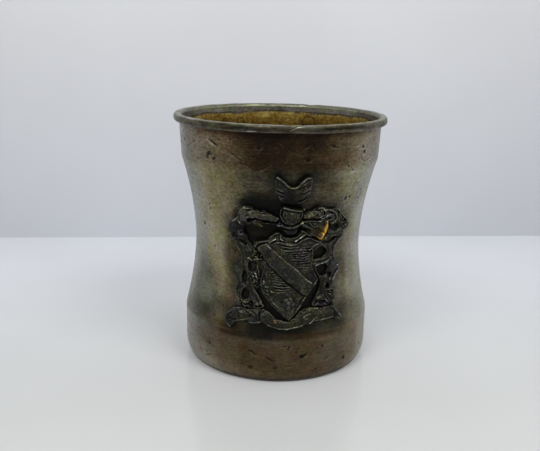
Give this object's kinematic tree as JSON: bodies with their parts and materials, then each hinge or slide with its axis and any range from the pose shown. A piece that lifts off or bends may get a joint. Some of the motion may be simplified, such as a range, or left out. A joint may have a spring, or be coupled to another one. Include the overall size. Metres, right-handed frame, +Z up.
{
  "type": "beaker tankard",
  "caption": "Small waisted silver drinking cup without a handle, with a beaded rim, a gilt inside and a cast coat-of-arms mount on its front.",
  "frame": {"origin": "centre of the underside, on the surface that the cup stands on", "axes": "+Z up along the cup's axis, towards the mouth; -Y towards the viewer, through the centre line of the coat-of-arms mount; +X to the viewer's right"},
  "size_m": [0.08, 0.08, 0.094],
  "materials": {
    "body_wall": "worn, lightly tarnished silver, dented",
    "rim_wire": "worn polished silver wire",
    "base_plate": "worn, lightly tarnished silver",
    "shield": "cast silver, dark in the recesses and worn bright on the edges",
    "mantling_left": "cast silver, blackened",
    "mantling_right": "cast silver, blackened, with one gilt leaf",
    "helm": "cast silver, worn bright on the edges",
    "wings": "cast silver, blackened, worn bright on the edges",
    "ribbon": "cast silver, worn"
  },
  "bodies": {
    "root": {"body_wall": "body_wall", "rim_wire": "rim_wire", "base_plate": "base_plate", "shield": "shield", "mantling_left": "mantling_left", "mantling_right": "mantling_right", "helm": "helm", "wings": "wings", "ribbon": "ribbon"}
  },
  "joints": []
}
